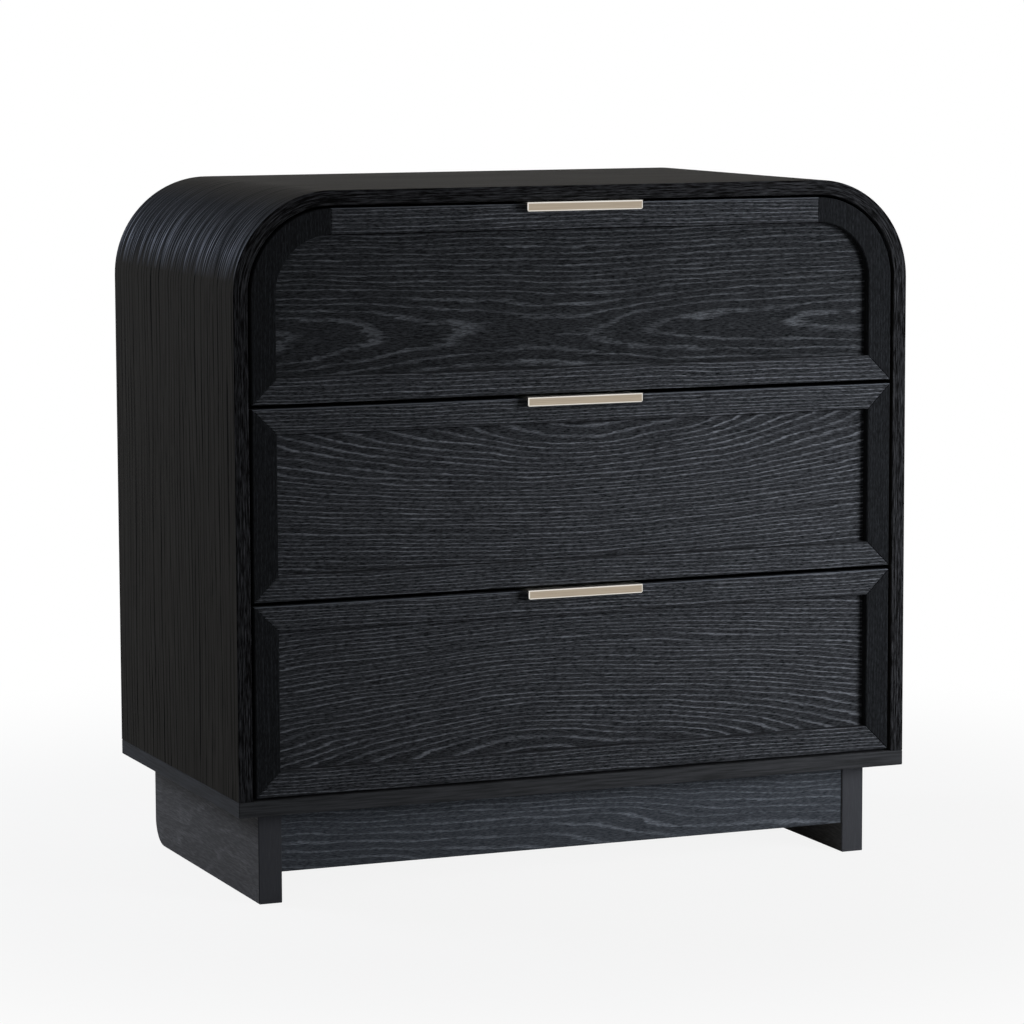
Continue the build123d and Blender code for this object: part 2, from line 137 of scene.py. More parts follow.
def trunk_place(tree, place, depth, tilt, wander):
    """A board's place in its bent trunk, that place along the grain, and the distance from the heart.

    The place has x along the grain, y inward and z across. The heart lies at a depth behind the face,
    and its tilt brings it nearer or further along the board."""
    slow = add(tree, "VectorMath", {"operation": "MULTIPLY", 1: slow_turns}, {0: place})
    noise = add(tree, "TexNoise", {"Scale": 1.0, "Detail": 2.0}, {"Vector": slow})
    wobble = noise.node.outputs["Color"]
    centred = add(tree, "VectorMath", {"operation": "SUBTRACT", 1: noise_middle}, {0: wobble})
    drift_size = (0.0, wander, cross_drift * wander)
    drift = add(tree, "VectorMath", {"operation": "MULTIPLY", 1: drift_size}, {0: centred})
    bent = add(tree, "VectorMath", {"operation": "ADD"}, {0: place, 1: drift})
    along = add(tree, "SeparateXYZ", None, {0: bent})
    blunt = add(tree, "CombineXYZ", {"Y": flame_tip}, {"X": along})
    reach = add(tree, "VectorMath", {"operation": "LENGTH"}, {0: blunt}).node.outputs["Value"]
    lean = add(tree, "Math", {"operation": "MULTIPLY_ADD", 1: tilt, 2: depth}, {0: reach})
    inward = add(tree, "Math", {"operation": "ADD"}, {0: lean, 1: along.node.outputs["Y"]})
    section = add(tree, "CombineXYZ", None, {"Y": inward, "Z": along.node.outputs["Z"]})
    radius = add(tree, "VectorMath", {"operation": "LENGTH"}, {0: section}).node.outputs["Value"]
    return bent, along, radius


print("the trunk bends once in about", round(1 / slow_turns[0] / mm), "mm")

# %% [markdown]
# ## The pale line of each year
# A growth ring is never a clean circle. It ripples, its edge is toothed where pores cross it, and good
# and bad years are wide and narrow. Three noises are added to the distance from the heart for that, and
# the part after the point of the distance in rings is then the time of year. A colour ramp makes the
# start of the year pale, and a last noise lets each line fade and come back along the board.

# %% Lines of the growth rings
ripple_turns = (14.0, 70.0, 70.0)  # ripples per metre along, into and across the board
tooth_turns = (32.0, 420.0, 420.0)
weather_turns = 55.0  # runs of good or bad years per metre of trunk
fade_per_year = 0.9  # how far the fading of one line differs from the next
fade_range = {1: 0.34, 2: 0.62, 3: 0.3, 4: 1.0}
new_year = 0.95  # the time of year when the next pale line starts


def year_lines(tree, place, along, radius, ring, saw, wavy, line, uneven, run):
    """How strong the pale line of the year is, from 0 to 1.

    Ring is its width. Saw, wavy and uneven are the three noises, in rings. Line is the pale share of a
    year, and run is how often a line fades in a metre."""
    quick = add(tree, "VectorMath", {"operation": "MULTIPLY", 1: ripple_turns}, {0: place})
    ripple = add(tree, "TexNoise", {"Scale": 1.0, "Detail": 2.0}, {"Vector": quick})
    rippled = add(tree, "Math", {"operation": "MULTIPLY_ADD", 1: wavy * ring}, {0: ripple, 2: radius})
    fine = add(tree, "VectorMath", {"operation": "MULTIPLY", 1: tooth_turns}, {0: place})
    teeth = add(tree, "TexNoise", {"Scale": 1.0, "Detail": 2.0}, {"Vector": fine})
    toothed = add(tree, "Math", {"operation": "MULTIPLY_ADD", 1: saw * ring}, {0: teeth, 2: rippled})
    yearly = {"noise_dimensions": "1D", "Scale": weather_turns, "Detail": 1.0}
    weather = add(tree, "TexNoise", yearly, {"W": radius})
    grown = add(tree, "Math", {"operation": "MULTIPLY_ADD", 1: uneven * ring}, {0: weather, 2: toothed})
    years = add(tree, "Math", {"operation": "DIVIDE", 1: ring}, {0: grown})
    season = add(tree, "Math", {"operation": "FRACT"}, {0: years})
    stops = [(0.0, "ffffff"), (0.4 * line, "f0f0f0"), (0.7 * line, "505050"), (line, "000000")]
    stops += [(new_year, "000000"), (1.0, "ffffff")]
    band = add(tree, "ValToRGB", {"stops": stops}, {"Fac": season})
    fade_place = add(tree, "CombineXYZ", None, {"X": along, "Y": years})
    fade_turns = (run, fade_per_year, 0.0)
    fade_spot = add(tree, "VectorMath", {"operation": "MULTIPLY", 1: fade_turns}, {0: fade_place})
    fading = add(tree, "TexNoise", {"Scale": 1.0, "Detail": 1.0}, {"Vector": fade_spot})
    bold = add(tree, "MapRange", fade_range, {0: fading})
    return add(tree, "Math", {"operation": "MULTIPLY"}, {0: band, 1: bold})


print("a line ripples once in about", round(1 / ripple_turns[0] / mm), "mm")

# %% [markdown]
# ## Pores
# Oak's pores are short fine grooves along the grain. A noise stretched along the board gives them. It
# breaks the pale lines into rows of small strokes, and it shows faintly on the dark wood between them.
# A real pore is about 0.2 mm wide, too fine to show here, so the strokes are drawn several times wider.

# %% Lines and pores together
pore_gaps = {1: 0.36, 2: 0.62, 3: 0.3, 4: 1.0}
stain_range = {1: 0.44, 2: 0.88, 3: 0.0, 4: 1.0}
even_grey = 0.5  # the middle of the noise, which stays put for any share


def oak_grain(tree, place, ring, depth, tilt, wander, stroke, ring_share=0.36, stroke_share=0.4, saw=0.4,
              wavy=0.8, line=0.36, uneven=1.8, run=14.0):
    """How pale the wood is, from 0 to 1.

    A stroke is the length and width of a pore, and the shares say how much lines and pores count."""
    bent, along, radius = trunk_place(tree, place, depth, tilt, wander)
    band = year_lines(tree, place, along, radius, ring, saw, wavy, line, uneven, run)
    length, width = stroke
    stroke_turns = (1 / length, 1 / width, 1 / width)
    stroke_place = add(tree, "VectorMath", {"operation": "MULTIPLY", 1: stroke_turns}, {0: bent})
    pore_noise = {"Scale": 1.0, "Detail": 3.0, "Roughness": 0.65}
    strokes = add(tree, "TexNoise", pore_noise, {"Vector": stroke_place})
    ground = {"operation": "MULTIPLY_ADD", 1: stroke_share, 2: even_grey - even_grey * stroke_share}
    soft = add(tree, "Math", ground, {0: strokes})
    gaps = add(tree, "MapRange", pore_gaps, {0: strokes})
    broken = add(tree, "Math", {"operation": "MULTIPLY"}, {0: band, 1: gaps})
    mark = add(tree, "Math", {"operation": "MULTIPLY_ADD", 1: ring_share}, {0: broken, 2: soft})
    return add(tree, "MapRange", stain_range, {0: mark})


print("finest teeth across the grain, in mm:", round(1 / tooth_turns[1] / mm, 1))

# %% [markdown]
# ## One recipe for all oak
# Every oak board has the same build: wood, black stain, matt lacquer. So one function makes all of them,
# and the boards differ in their cut, which is the set of sizes above, and in how much stain they took.
# A board's front edge is a strip of its own with its own cut. The lacquer hardly shines, so its specular
# level is low, and the pores are a little rougher and lower than the rest.

# %% Stained and lacquered oak
flat_relief = 0.15 * mm
relief_strength = 0.6
board_sheen = 0.03
lacquer_roughness = 0.82
pore_roughness = 0.1


def stained_wood(tree, place_of, cut, stain):
    """How pale the wood is, and its colour. A stain has a tone for the wood and one for its lines."""
    pale = oak_grain(tree, place_of(tree), **cut)
    tones = {"data_type": "RGBA", 6: linear(stain[0]), 7: linear(stain[1])}
    return pale, add(tree, "Mix", tones, {"Factor": pale})


def front_strip(tree, front_y, **wood):
    """Where a board's front edge strip is, how pale its wood is, and its colour."""
    pale, colour = stained_wood(tree, **wood)
    y = add(tree, "SeparateXYZ", None, {0: object_place(tree)}).node.outputs["Y"]
    at_front = add(tree, "Math", {"operation": "LESS_THAN", 1: front_y}, {0: y})
    return at_front, pale, colour


def black_oak(name, place_of, cut, stain, edge=None, relief_depth=flat_relief, sheen=board_sheen,
              bend_of=None, touch_of=None):
    """Stained oak under a matt lacquer. An edge is a front strip, a bend adds the painted shade and
    highlight streaks of the bend, and a touch is a last change of colour, such as a painted shade line or a
    painted highlight.
    """
    material, tree, shader = new_material(name)
    pale, colour = stained_wood(tree, place_of, cut, stain)
    if bend_of:
        colour = bend_of(tree, colour)
    if edge:
        at_front, edge_pale, edge_colour = front_strip(tree, **edge)
        pale = add(tree, "Mix", None, {"Factor": at_front, "A": pale, "B": edge_pale})
        both = {"Factor": at_front, 6: colour, 7: edge_colour}
        colour = add(tree, "Mix", {"data_type": "RGBA"}, both)
    if touch_of:
        colour = touch_of(tree, colour)
    rough = {"operation": "MULTIPLY_ADD", 1: pore_roughness, 2: lacquer_roughness}
    gloss = add(tree, "Math", rough, {0: pale})
    sunk = {"Strength": relief_strength, "Distance": relief_depth, "invert": True}
    relief = add(tree, "Bump", sunk, {"Height": pale})
    join(tree, shader, {"Base Color": colour, "Roughness": gloss, "Normal": relief})
    shader.inputs["Specular IOR Level"].default_value = sheen
    return material


print("deepest pore on a flat board, in mm:", round(flat_relief / mm, 2))

# %% [markdown]
# ## Which way the grain runs
# The maker runs the grain along each board: across the drawer panels and rails, up the stiles, and along
# the base. For a flat board a Mapping node turns the trunk, and its place says where the heart lies. The
# boards could be turned instead, but they have to stay where the drawers and the case need them.

# %% Grain of a flat board
grain_across = Matrix(((1, 0, 0), (0, 1, 0), (0, 0, 1)))
grain_up = Matrix(((0, 0, 1), (0, 1, 0), (-1, 0, 0)))
grain_back = Matrix(((0, 1, 0), (-1, 0, 0), (0, 0, 1)))


def flat_board(turn, heart):
    """A place function for a flat board. Heart is where the trunk's axis lies, in turned metres."""
    settings = {"Rotation": turn.to_euler("XYZ"), "Location": heart}
    return lambda tree: add(tree, "Mapping", settings, {"Vector": object_place(tree)})


print("grain up a stile, turned by", [round(math.degrees(a)) for a in grain_up.to_euler("XYZ")])

# %% [markdown]
# ## Drawer panels
# Each drawer front is a wide panel of flamed oak behind a flat frame. The middle and the bottom panel
# come from near the heart of a tilted trunk, so their lines fan out. The top panel lies along the heart
# and shows long islands, and its tones are painted a little darker as shade. One cut for all would be
# simpler, but then the same flame would show three times. A thin black line of painted shade lies under
# the top rail. Its height is read from the rail itself.

# %% Oak on the drawer panels
panel_stain = ("0c0d0e", "6b6e73")
# The top panel's tones are the panel stain painted a little darker as shade.
top_panel_shaded_stain = ("0a0b0c", "5e6165")
# The colour of the painted shade under each top rail.
rail_shade_tone = "050505"
shade_start = 1.9 * mm  # below the rail
shade_full = 0.9 * mm
fine_stroke = (6.0 * mm, 0.8 * mm)
fan_cut = dict(ring=4.0 * mm, depth=34.0 * mm, tilt=0.12, wander=20.0 * mm, stroke=fine_stroke)
island_cut = dict(ring=4.6 * mm, depth=44.0 * mm, tilt=-0.035, wander=18.0 * mm, stroke=fine_stroke,
                  saw=0.7, ring_share=0.3)
panels = {
    "top": (island_cut, top_panel_shaded_stain, (0.03, 0.19, -0.575)),
    "middle": (fan_cut, panel_stain, (0.0, 0.19, -0.505)),
    "bottom": (fan_cut, panel_stain, (0.03, 0.19, -0.12)),
}


def rail_heights(drawer):
    """The lowest and the highest point of a drawer's top rail."""
    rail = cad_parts[f"{drawer}_drawer_top_rail"].data
    heights = [corner.co.z for corner in rail.vertices]
    return min(heights), max(heights)


def painted_shade_under_rail(rail_z):
    """A touch for a panel: a thin line of painted shade under its top rail."""
    def touch(tree, colour):
        z = add(tree, "SeparateXYZ", None, {0: object_place(tree)}).node.outputs["Z"]
        below = {1: rail_z - shade_start, 2: rail_z - shade_full, 3: 1.0, 4: 0.0}
        clear = add(tree, "MapRange", below, {0: z})
        black = {"data_type": "RGBA", 6: linear(rail_shade_tone)}
        return add(tree, "Mix", black, {"Factor": clear, 7: colour})
    return touch


for drawer, (cut, stain, heart) in panels.items():
    board = flat_board(grain_across, heart)
    touch = painted_shade_under_rail(rail_heights(drawer)[0])
    panel = black_oak(f"black_oak_{drawer}_panel", board, cut, stain, touch_of=touch)
    finish_nodes(panel, [f"{drawer}_drawer_front_panel"])
    print(drawer, "panel, rings of", round(cut["ring"] / mm, 1), "mm")

# %% [markdown]
# ## Drawer frames
# The frame round each panel is cut from straight oak. Its rails look like the panels. Its stiles run
# upright, show almost no rings, and look darker. A pale hairline of painted highlight lies on the upper
# front edge of a rail. It could be a bevel, but at this size only its colour shows.

# %% Oak on the rails and stiles
drawers = ("bottom", "middle", "top")
frame_stain = ("121314", "2e3033")
# The tone of the painted highlight on a rail's upper front edge.
arris_highlight_tone = "565a60"
arris_width = 0.9 * mm
front_of_case = -194.0 * mm
straight_cut = dict(ring=3.6 * mm, depth=50.0 * mm, tilt=0.03, wander=20.0 * mm, stroke=fine_stroke)
stile_cut = dict(straight_cut, ring_share=0.2, stroke_share=0.8)


def painted_arris_highlight(top_z):
    """A touch for a rail: a pale hairline of painted highlight along its upper front edge."""
    def touch(tree, colour):
        place = add(tree, "SeparateXYZ", None, {0: object_place(tree)}).node.outputs
        high = add(tree, "Math", {"operation": "GREATER_THAN", 1: top_z - arris_width}, {0: place["Z"]})
        front_y = front_of_case + arris_width
        front = add(tree, "Math", {"operation": "LESS_THAN", 1: front_y}, {0: place["Y"]})
        highlit_edge = add(tree, "Math", {"operation": "MULTIPLY"}, {0: high, 1: front})
        paler = {"data_type": "RGBA", 7: linear(arris_highlight_tone)}
        return add(tree, "Mix", paler, {"Factor": highlit_edge, 6: colour})
    return touch


rail_board = flat_board(grain_across, (0.9, 0.2, 0.25))
for drawer in drawers:
    touch = painted_arris_highlight(rail_heights(drawer)[1])
    rails = black_oak(f"black_oak_{drawer}_rails", rail_board, straight_cut, panel_stain, touch_of=touch)
    finish_nodes(rails, [f"{drawer}_drawer_{part}" for part in ("top_rail", "bottom_rail")])
    print(drawer, "rails, upper edge at", round(rail_heights(drawer)[1] / mm, 1), "mm")
stiles = black_oak("black_oak_stiles", flat_board(grain_up, (0.6, 0.2, 0.6)), stile_cut, frame_stain)
stile_nodes = [f"{d}_drawer_{part}" for d in drawers for part in ("left_stile", "right_stile")]
finish_nodes(stiles, stile_nodes)
print("stiles:", len(stile_nodes))

# %% [markdown]
# ## A sheet folded round the case
# The veneer on the case is folded like a waterfall: up one side, round the corner, over the top and down
# the other side, so its grain follows that path. No single turn of the trunk can do this. Instead the way
# round is added up for each point from the straight runs and the arcs, and it takes the place of x.

# %% The way round the case
half_width = 375.0 * mm
case_top = 725.0 * mm
corner_radius = 104.0 * mm
corner_x = half_width - corner_radius
corner_z = case_top - corner_radius


def way_round(tree):
    """The way round the case, the depth, the rise into a bend, and the distance from its middle."""
    x = add(tree, "SeparateXYZ", None, {0: object_place(tree)})
    z = x.node.outputs["Z"]
    flat_x = add(tree, "Clamp", {"Min": -corner_x, "Max": corner_x}, {"Value": x})
    flat_z = add(tree, "Math", {"operation": "MINIMUM", 1: corner_z}, {0: z})
    out = add(tree, "Math", {"operation": "SUBTRACT"}, {0: flat_x, 1: x})
    up = add(tree, "Math", {"operation": "SUBTRACT"}, {0: z, 1: flat_z})
    angle = add(tree, "Math", {"operation": "ARCTAN2"}, {0: up, 1: out})
    over = add(tree, "Math", {"operation": "MULTIPLY_ADD", 1: corner_radius}, {0: angle, 2: flat_x})
    side = add(tree, "Math", {"operation": "SIGN"}, {0: x})
    below = add(tree, "Math", {"operation": "SUBTRACT", 0: corner_z}, {1: flat_z})
    way = add(tree, "Math", {"operation": "MULTIPLY_ADD"}, {0: side, 1: below, 2: over})
    spoke = add(tree, "CombineXYZ", None, {"X": out, "Y": up})
    radius = add(tree, "VectorMath", {"operation": "LENGTH"}, {0: spoke}).node.outputs["Value"]
    return {"way": way, "depth": x.node.outputs["Y"], "rise": up, "radius": radius}


def folded_sheet(heart):
    """A place function for the sheet that wraps the case, with x as the way round it."""
    def place(tree):
        fold = way_round(tree)
        sheet = add(tree, "CombineXYZ", None, {"X": fold["way"], "Z": fold["depth"]})
        return add(tree, "VectorMath", {"operation": "ADD", 1: heart}, {0: sheet})
    return place


def folded_strip(heart):
    """A place function for the strip on the front edge of the wrap, with z across the strip."""
    def place(tree):
        fold = way_round(tree)
        strip = add(tree, "CombineXYZ", None, {"X": fold["way"], "Z": fold["radius"]})
        return add(tree, "VectorMath", {"operation": "ADD", 1: heart}, {0: strip})
    return place


print("one bend is", round(corner_radius * math.pi / 2 / mm), "mm the way round")

# %% [markdown]
# ## Painted shade and highlights on the bend
# Where the sheet was pressed round the corner, shade is painted in as a darker tone, and a sheen on the
# lower part of the bend is painted as fine pale streaks of highlight. They are painted as colour and not
# as gloss, so that they stay in place under any light. Real streaks are finer than these, which are as
# coarse as they need to show.

# %% Painted shade and highlight streaks on the bend
# The darker tone is painted shade on the bend, and the pale one is painted highlight.
bend_shade_tone = "1b1d20"
streak_highlight_tone = "9ca0a8"
bend_start = {1: 14.0 * mm, 2: 42.0 * mm, 3: 0.0, 4: 0.9}  # by the rise above the straight side
bend_end = {1: 84.0 * mm, 2: 104.0 * mm, 3: 1.0, 4: 0.0}
streaks_end = {1: 46.0 * mm, 2: 98.0 * mm, 3: 1.0, 4: 0.0}
streak_range = {1: 0.5, 2: 0.68, 3: 0.0, 4: 1.0}
streak_length = 180.0 * mm
streak_width = 3.4 * mm


def bend_shade_and_highlight(tree, colour):
    """Paints shade on the bend as a darker tone, and a sheen on its lower part as fine pale streaks of
    highlight.
    """
    fold = way_round(tree)
    start = add(tree, "MapRange", bend_start, {0: fold["rise"]})
    end = add(tree, "MapRange", bend_end, {0: fold["rise"]})
    bend = add(tree, "Math", {"operation": "MULTIPLY"}, {0: start, 1: end})
    low_part = add(tree, "MapRange", streaks_end, {0: fold["rise"]})
    lit = add(tree, "Math", {"operation": "MULTIPLY"}, {0: start, 1: low_part})
    along = add(tree, "Math", {"operation": "MULTIPLY", 1: 1 / streak_length}, {0: fold["way"]})
    across = add(tree, "Math", {"operation": "MULTIPLY", 1: 1 / streak_width}, {0: fold["depth"]})
    place = add(tree, "CombineXYZ", None, {"X": along, "Y": across})
    noise = add(tree, "TexNoise", {"Scale": 1.0, "Detail": 4.0, "Roughness": 0.65}, {"Vector": place})
    fine = add(tree, "MapRange", streak_range, {0: noise})
    streaks = add(tree, "Math", {"operation": "MULTIPLY"}, {0: lit, 1: fine})
    darker = {"data_type": "RGBA", 7: linear(bend_shade_tone)}
    colour = add(tree, "Mix", darker, {"Factor": bend, 6: colour})
    paler = {"data_type": "RGBA", 7: linear(streak_highlight_tone)}
    return add(tree, "Mix", paler, {"Factor": streaks, 6: colour})


print("streaks about", round(streak_length / mm), "by", round(streak_width / mm, 1), "mm")

# %% [markdown]
# ## The case
# On the wrap the grain is the other way round: the wood is dark grey and its lines are black, long and
# straight, so the two tones of its stain change places. The lines of real oak are finer, and these are
# drawn wide enough to show. The front rim is a strip of its own, and the wrap is the mattest part of all.

# %% Oak on the case
wrap_stain = ("363430", "070707")
strip_stain = ("0b0b0b", "46474a")
deep_relief = 0.25 * mm
wrap_sheen = 0.01
edge_depth = 0.9 * mm  # how far back a front strip reaches
wrap_cut = dict(ring=10.0 * mm, depth=50.0 * mm, tilt=0.0, wander=30.0 * mm, stroke=(220.0 * mm, 2.2 * mm),
                ring_share=0.55, stroke_share=0.55, saw=0.05, wavy=0.3, line=0.27, uneven=1.0, run=6.0)
strip_cut = dict(ring=3.0 * mm, depth=50.0 * mm, tilt=0.0, wander=8.0 * mm, stroke=(16.0 * mm, 1.1 * mm),
                 ring_share=0.2, stroke_share=0.9)
rim_strip = dict(place_of=folded_strip((1.3, 0.0, 0.0)), cut=strip_cut, stain=strip_stain,
                 front_y=front_of_case + edge_depth)
wrap = dict(place_of=folded_sheet((0.0, 0.0, 0.42)), cut=wrap_cut, stain=wrap_stain, edge=rim_strip,
            relief_depth=deep_relief, sheen=wrap_sheen)
sides = black_oak("black_oak_sides", **wrap)
finish_nodes(sides, ["left_side_panel", "right_side_panel"])
# The top and the corners carry the painted shade and highlight streaks of the bend.
bent_top = black_oak("black_oak_top", **wrap, bend_of=bend_shade_and_highlight)
finish_nodes(bent_top, ["top_panel", "left_corner", "right_corner"])
print("wrap, lines about", round(wrap_cut["ring"] / mm), "mm apart")

# %% [markdown]
# ## The base
# The apron is flamed like the drawers. The leg panels have their grain from front to back and are cut
# far from the heart, so they are quiet, and their front edge carries a plain tape. The apron and the legs
# are painted lighter than the drawers' oak, as bounce light from the white floor.
# One finish for the whole base would do, but boards that meet at a corner would then look like one block.

# %% Oak on the base
# The apron and leg tones are stained oak painted lighter as bounce light from the floor.
apron_tone_with_bounce_light = ("282b2f", "767b82")
leg_tone_with_bounce_light = ("4e4d4c", "7d7c7b")
tape_stain = ("3b3c3f", "46474a")
front_of_legs = -162.0 * mm
apron_cut = dict(ring=4.0 * mm, depth=30.0 * mm, tilt=0.05, wander=30.0 * mm, stroke=fine_stroke,
                 ring_share=0.24)
leg_cut = dict(apron_cut, depth=120.0 * mm, stroke=(16.0 * mm, 1.4 * mm), ring_share=0.14,
               stroke_share=0.6)
tape_cut = dict(strip_cut, ring_share=0.0)
leg_tape = dict(place_of=flat_board(grain_up, (1.3, 0.0, 0.75)), cut=tape_cut, stain=tape_stain,
                front_y=front_of_legs + edge_depth)
apron_board = flat_board(grain_across, (0.25, 0.2, -0.01))
finish_nodes(black_oak("black_oak_aprons", apron_board, apron_cut, apron_tone_with_bounce_light), ["front_apron"])
finish_nodes(black_oak("black_oak_rear_apron", rail_board, straight_cut, panel_stain), ["rear_apron"])
leg_board = flat_board(grain_back, (0.1, 0.4, 0.1))
legs = black_oak("black_oak_legs", leg_board, leg_cut, leg_tone_with_bounce_light, edge=leg_tape)
finish_nodes(legs, ["left_leg", "right_leg"])
print("apron, rings of", round(apron_cut["ring"] / mm, 1), "mm; legs, heart at",
      round(leg_cut["depth"] / mm), "mm")

# %% [markdown]
# ## The plain boards
# What the eye meets second is plain sheet: the bottom board in black foil, the drawer boxes in grey
# foil with a printed grain, and the back in dark hardboard. Foil takes the faint pebble of the roller
# that pressed it, and hardboard is felted from fibres. One stretched noise can serve all of them, with
# the size of a mark along x, y and z for each, so one function makes every plain sheet.

# %% A pressed sheet
foil_sheen = 0.08
speckle_gloss = 0.15
pebble_strength = 0.2


def speckled_board(name, grain, tones, roughness, pebble):
    """A pressed sheet: two near tones in marks of the given size, matt, with a faint pebble."""
    material, tree, shader = new_material(name)
    size = {"Scale": tuple(1 / length for length in grain)}
    place = add(tree, "Mapping", size, {"Vector": object_place(tree)})
    speckle = add(tree, "TexNoise", {"Scale": 1.0, "Detail": 4.0, "Roughness": 0.6}, {"Vector": place})
    colour = add(tree, "ValToRGB", {"stops": [(0.35, tones[0]), (0.65, tones[1])]}, {"Fac": speckle})
    rough = {"operation": "MULTIPLY_ADD", 1: speckle_gloss, 2: roughness}
    gloss = add(tree, "Math", rough, {0: speckle})
    relief = add(tree, "Bump", {"Strength": pebble_strength, "Distance": pebble}, {"Height": speckle})
    join(tree, shader, {"Base Color": colour, "Roughness": gloss, "Normal": relief})
    shader.inputs["Specular IOR Level"].default_value = foil_sheen
    return material


print("specular level of foil:", foil_sheen)

# %% [markdown]
# ## Foil, hardboard and beech
# The printed grain of the foil is long and thin, and hardboard has even specks. Dowels and corner blocks
# are bare beech, which has short flecks along its grain, so the same function serves for it.

# %% Finishes of the plain boards
foil_pebble = 0.05 * mm
raw_pebble = 0.1 * mm
box_parts = ("box_front", "box_left_side", "box_right_side", "box_back")
plain_boards = {
    "black_foil_on_board": dict(grain=(45.0 * mm, 45.0 * mm, 1.8 * mm), tones=("252627", "38393b"),
                                roughness=0.75, pebble=foil_pebble),
    "grey_oak_foil_on_board": dict(grain=(60.0 * mm, 60.0 * mm, 2.2 * mm), tones=("4a4743", "57534e"),
                                   roughness=0.5, pebble=foil_pebble),
    "grey_foil_on_hardboard": dict(grain=(60.0 * mm, 2.4 * mm, 2.4 * mm), tones=("46433f", "524e49"),
                                   roughness=0.55, pebble=foil_pebble),
    "dark_hardboard": dict(grain=(3.0 * mm, 3.0 * mm, 3.0 * mm), tones=("352f2a", "443d36"),
                           roughness=0.65, pebble=raw_pebble),
    "beech": dict(grain=(1.2 * mm, 1.2 * mm, 22.0 * mm), tones=("a98157", "c79d70"),
                  roughness=0.5, pebble=raw_pebble),
}
faced_nodes = {
    "black_foil_on_board": ["bottom_panel"],
    "grey_oak_foil_on_board": [f"{d}_drawer_{part}" for d in drawers for part in box_parts],
    "grey_foil_on_hardboard": [f"{d}_drawer_box_floor" for d in drawers],
    "dark_hardboard": ["back_panel"],
    "beech": ["case_dowels", "base_corner_blocks"],
}
for name, sheet in plain_boards.items():
    finish_nodes(speckled_board(name, **sheet), faced_nodes[name])
    print(name, "on", len(faced_nodes[name]), "nodes")

# %% [markdown]
# ## Brushed nickel pulls
# Each pull is a folded metal strip, brushed along its length and plated a warm satin nickel. The brushing
# is many fine scratches, so a noise stretched along the pull breaks up its gloss. Real scratches are
# about 0.05 mm wide, and these are coarser so that they show. The rims of the lip are painted bright all
# round as highlight, so the distance from the middle of the lip, read from the pull itself, picks them out.

# %% Brushed satin nickel
nickel_face = [(0.3, "9f9281"), (0.7, "b7aa98")]
# The bright tones of the painted highlights on the rims of the lip.
nickel_rim_highlight = [(0.3, "e6e1d7"), (0.7, "f5f1ea")]
nickel_roughness = 0.22
scratch_roughness = 0.2
scratch_depth = 0.05 * mm
scratch_strength = 0.15
scratch_length = 40.0 * mm
scratch_width = 0.35 * mm
rim_start = 1.4 * mm
rim_full = 0.9 * mm


def highlight_band(tree, along, middle, half):
    """Where the painted highlight lies: 1 within a millimetre of either end of a span, and 0 between."""
    off = add(tree, "Math", {"operation": "SUBTRACT", 1: middle}, {0: along})
    distance = add(tree, "Math", {"operation": "ABSOLUTE"}, {0: off})
    near_end = {1: half - rim_start, 2: half - rim_full, 3: 0.0, 4: 1.0}
    return add(tree, "MapRange", near_end, {0: distance})


def brushed_nickel(name, low, high, half_length):
    """Satin nickel: warm metal with fine scratches along it, and painted highlights on the rims round the
    lip.
    """
    material, tree, shader = new_material(name)
    spot = object_place(tree)
    size = {"Scale": (1 / scratch_length, 1 / scratch_width, 1 / scratch_width)}
    scratches = add(tree, "Mapping", size, {"Vector": spot})
    brush = add(tree, "TexNoise", {"Scale": 1.0, "Detail": 3.0}, {"Vector": scratches})
    face = add(tree, "ValToRGB", {"stops": nickel_face}, {"Fac": brush})
    rim = add(tree, "ValToRGB", {"stops": nickel_rim_highlight}, {"Fac": brush})
    x = add(tree, "SeparateXYZ", None, {0: spot})
    ends = highlight_band(tree, x, 0.0, half_length)
    folds = highlight_band(tree, x.node.outputs["Z"], (low + high) / 2, (high - low) / 2)
    highlit = add(tree, "Math", {"operation": "MAXIMUM"}, {0: ends, 1: folds})
    tint = add(tree, "Mix", {"data_type": "RGBA"}, {"Factor": highlit, 6: face, 7: rim})
    rough = {"operation": "MULTIPLY_ADD", 1: scratch_roughness, 2: nickel_roughness}
    gloss = add(tree, "Math", rough, {0: brush})
    relief = add(tree, "Bump", {"Strength": scratch_strength, "Distance": scratch_depth}, {"Height": brush})
    join(tree, shader, {"Base Color": tint, "Roughness": gloss, "Normal": relief})
    shader.inputs["Metallic"].default_value = 1.0
    return material


lip_zone = 0.5 * mm  # how far behind the front of a pull its lip is looked for
for drawer in drawers:
    corners = [corner.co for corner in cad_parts[f"{drawer}_drawer_pull"].data.vertices]
    lip_y = min(corner.y for corner in corners)
    lip = [corner.z for corner in corners if corner.y < lip_y + lip_zone]
    half_length = max(corner.x for corner in corners)
    nickel = brushed_nickel(f"brushed_satin_nickel_{drawer}", min(lip), max(lip), half_length)
    finish_nodes(nickel, [f"{drawer}_drawer_pull"])
    print(drawer, "pull lip from", round(min(lip), 4), "to", round(max(lip), 4))

# %% [markdown]
# ## Zinc plated runners and screws
# The runners are rolled from steel strip and the screws are turned, and both are plated with zinc. The
# plating is bluish and slightly cloudy, with faint lines along the rolled strip. One noise gives the
# clouds and a stretched one gives the lines, which are coarser than real rolling marks so that they show.

# %% Zinc plated steel
zinc_tones = [(0.3, "9a9fa4"), (0.7, "bcc1c5")]
zinc_roughness = 0.22
cloud_roughness = 0.25
rolling_depth = 0.05 * mm
rolling_strength = 0.12
cloud_width = 14.0 * mm
rolling_length = 70.0 * mm
rolling_width = 0.8 * mm


